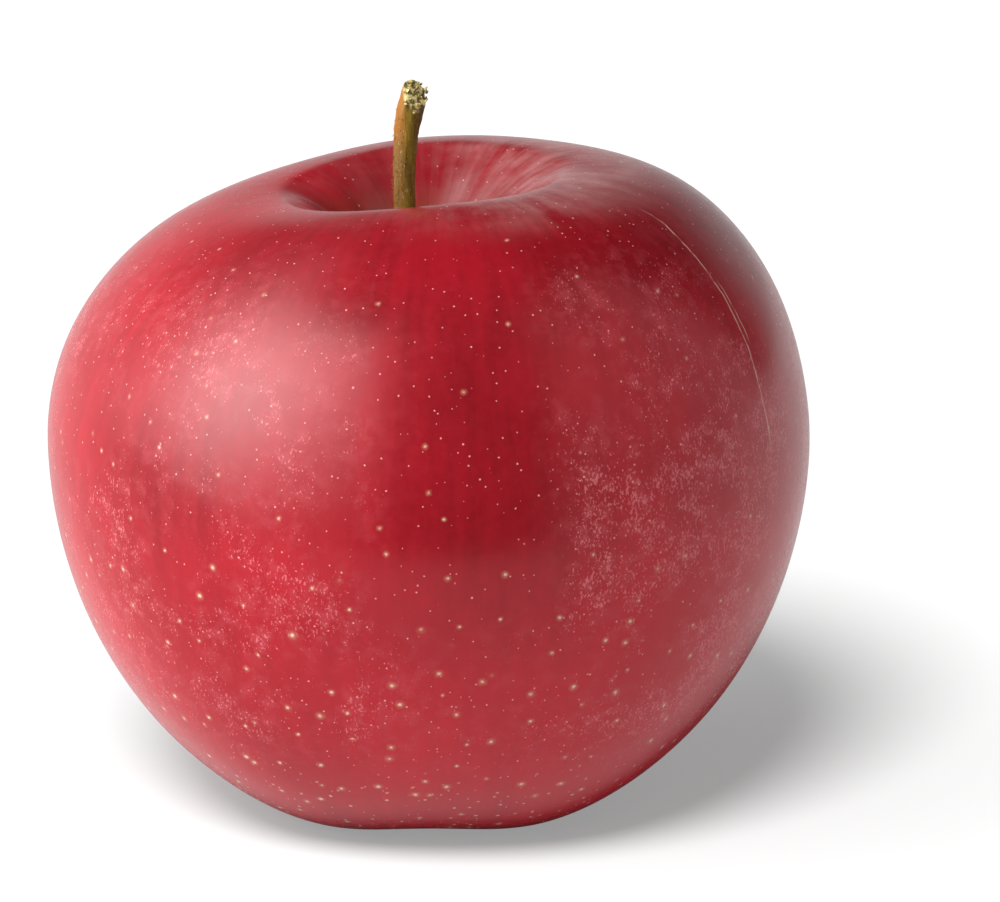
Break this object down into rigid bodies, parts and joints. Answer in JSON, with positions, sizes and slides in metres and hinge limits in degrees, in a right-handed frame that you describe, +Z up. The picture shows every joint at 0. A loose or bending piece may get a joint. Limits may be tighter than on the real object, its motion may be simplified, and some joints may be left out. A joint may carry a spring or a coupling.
{
  "type": "apple",
  "caption": "Whole red apple with its stem in a deep cavity and a dried calyx in the base, standing on small flats on its base lobes.",
  "frame": {"origin": "on the fruit's upright axis, in the plane that the base lobes rest on, which is the bottom centre of the bounding box", "axes": "+Z up along the fruit's axis; +X to the side where the crown is higher and the stem's tip hooks; -Y is the front"},
  "size_m": [0.08, 0.08, 0.0763],
  "materials": {
    "skin": "satin",
    "stem": "matte",
    "calyx": "matte",
    "stamens": "matte"
  },
  "bodies": {
    "root": {"fruit": "skin", "stem": "stem", "sepal_1": "calyx", "sepal_2": "calyx", "sepal_3": "calyx", "sepal_4": "calyx", "sepal_5": "calyx", "stamens": "stamens"}
  },
  "joints": []
}
